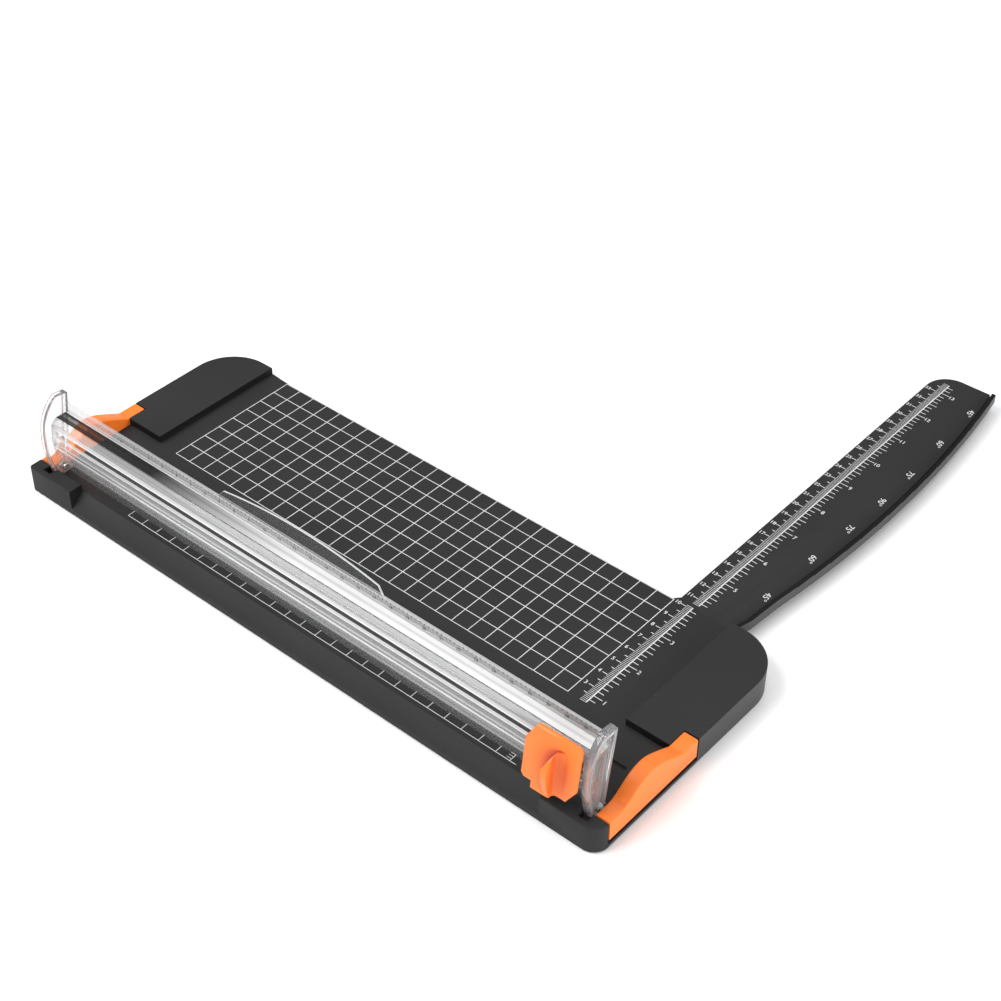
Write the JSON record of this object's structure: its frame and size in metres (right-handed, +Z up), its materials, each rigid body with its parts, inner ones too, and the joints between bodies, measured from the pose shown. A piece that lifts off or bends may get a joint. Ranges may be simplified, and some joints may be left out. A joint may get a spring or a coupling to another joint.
{
  "type": "paper trimmer",
  "caption": "Flat paper trimmer with a lift-up clear rail, an orange sliding cutter head, sprung side latches and a swing-out ruler arm.",
  "frame": {"origin": "middle of the base's footprint on the table, under the central foot", "axes": "+X right along the cut, +Y to the rear, +Z up"},
  "size_m": [0.368, 0.3911, 0.0592],
  "materials": {
    "charcoal_plastic": "fine moulded texture",
    "dark_plastic": "plain moulded",
    "orange_plastic": "satin moulded",
    "clear_plastic": "clear polished",
    "strip_plastic": "plain extruded",
    "pale_nylon": "plain",
    "rubber": "matt",
    "steel": "zinc plated",
    "blade_steel": "ground edge"
  },
  "bodies": {
    "base": {"base_shell": "charcoal_plastic", "bottom_plate": "dark_plastic", "base_screws": "steel", "rubber_feet": "rubber", "cutting_strip": "strip_plastic", "arm_friction_washer": "pale_nylon", "arm_retaining_washer": "steel", "arm_pivot_screw": "steel", "latch_springs_left": "steel", "latch_springs_right": "steel"},
    "rail": {"clear_rail": "clear_plastic", "rail_end_plate_left": "clear_plastic", "rail_end_plate_right": "clear_plastic", "hinge_pin_left": "steel", "hinge_pin_right": "steel"},
    "carriage": {"slider_carriage": "dark_plastic", "press_springs": "steel"},
    "cutter_head": {"slider_cap": "orange_plastic", "blade_holder": "dark_plastic", "blade": "blade_steel", "blade_rivet": "steel"},
    "arm": {"ruler_arm": "charcoal_plastic"},
    "left_latch": {"latch_left": "orange_plastic", "latch_clips_left": "steel"},
    "right_latch": {"latch_right": "orange_plastic", "latch_clips_right": "steel"}
  },
  "joints": [
    {"name": "rail_lift", "type": "hinge", "parent": "base", "child": "rail", "pos_m": [0, -0.056, 0.0128], "axis": [1, 0, 0], "range_deg": [-82, 0]},
    {"name": "cutter_slide", "type": "slide", "parent": "rail", "child": "carriage", "axis": [1, 0, 0], "range_m": [-0.3124, 0]},
    {"name": "cutter_press", "type": "slide", "parent": "carriage", "child": "cutter_head", "axis": [0, 0.9903, -0.1392], "range_m": [0, 0.002], "stiffness_N_per_m": 600, "springref_m": -0.002, "deforming": ["press_springs"]},
    {"name": "arm_swing", "type": "hinge", "parent": "base", "child": "arm", "pos_m": [0.1363, 0.059, 0.007], "axis": [0, 0, 1], "range_deg": [0, 90]},
    {"name": "latch_left_pull", "type": "slide", "parent": "base", "child": "left_latch", "axis": [-1, 0, 0], "range_m": [0, 0.003], "stiffness_N_per_m": 400, "springref_m": -0.002, "deforming": ["latch_springs_left"]},
    {"name": "latch_right_pull", "type": "slide", "parent": "base", "child": "right_latch", "axis": [1, 0, 0], "range_m": [0, 0.003], "stiffness_N_per_m": 400, "springref_m": -0.002, "deforming": ["latch_springs_right"]}
  ]
}
